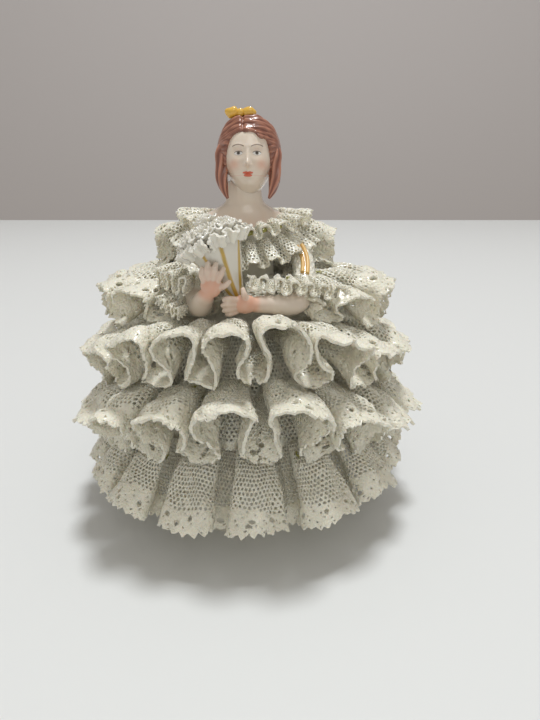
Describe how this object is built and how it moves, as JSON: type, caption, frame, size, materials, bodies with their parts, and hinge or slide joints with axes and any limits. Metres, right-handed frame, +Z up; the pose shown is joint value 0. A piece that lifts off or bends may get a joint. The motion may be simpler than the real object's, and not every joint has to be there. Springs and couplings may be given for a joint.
{
  "type": "porcelain figurine",
  "caption": "porcelain lady in a wide skirt of fired lace flounces, holding a bouquet, standing on a hollow cast underskirt",
  "frame": {"origin": "centre of the foot ring, on the floor", "axes": "+Z up, the figure faces -Y, +X is the figure's left-hand side"},
  "size_m": [0.1177, 0.11, 0.1292],
  "materials": {
    "lace_porcelain": "lace soaked in slip and fired, thin grainy glaze",
    "bisque_casting": "matt cast porcelain",
    "bodice_glaze": "clear gloss glaze on white",
    "skin_glaze": "clear gloss glaze, blush painted under it",
    "hair_glaze": "auburn brushed paint under gloss glaze",
    "yellow_glaze": "gloss",
    "amber_glaze": "gloss",
    "cone_glaze": "gloss white with painted stripes",
    "blossom_glaze": "gloss white",
    "green_glaze": "olive gloss"
  },
  "bodies": {
    "root": {"bodice": "bodice_glaze", "bouquet_blossoms": "blossom_glaze", "bouquet_cone": "cone_glaze", "bouquet_inner_frill": "lace_porcelain", "bouquet_outer_frill": "lace_porcelain", "bust_and_head": "skin_glaze", "bustle_flounce_1": "lace_porcelain", "bustle_flounce_2": "lace_porcelain", "collar_leaves": "green_glaze", "collar_lower_frill": "lace_porcelain", "collar_upper_frill": "lace_porcelain", "hair_bow": "yellow_glaze", "hair_cap": "hair_glaze", "hem_flounce_1": "lace_porcelain", "hem_flounce_2": "lace_porcelain", "hem_flounce_3": "lace_porcelain", "hem_flounce_4": "lace_porcelain", "left_arm": "skin_glaze", "left_cuff_upper_frill": "lace_porcelain", "left_side_lock": "hair_glaze", "lower_flounce_1": "lace_porcelain", "lower_flounce_2": "lace_porcelain", "lower_flounce_3": "lace_porcelain", "lower_flounce_4": "lace_porcelain", "middle_flounce_1": "lace_porcelain", "middle_flounce_2": "lace_porcelain", "middle_flounce_3": "lace_porcelain", "middle_flounce_4": "lace_porcelain", "right_arm": "skin_glaze", "right_cuff_lower_frill": "lace_porcelain", "right_cuff_upper_frill": "lace_porcelain", "right_side_lock": "hair_glaze", "sleeve_ribbon": "amber_glaze", "underskirt_casting": "bisque_casting", "upper_flounce_1": "lace_porcelain", "upper_flounce_2": "lace_porcelain", "upper_flounce_3": "lace_porcelain"}
  },
  "joints": []
}
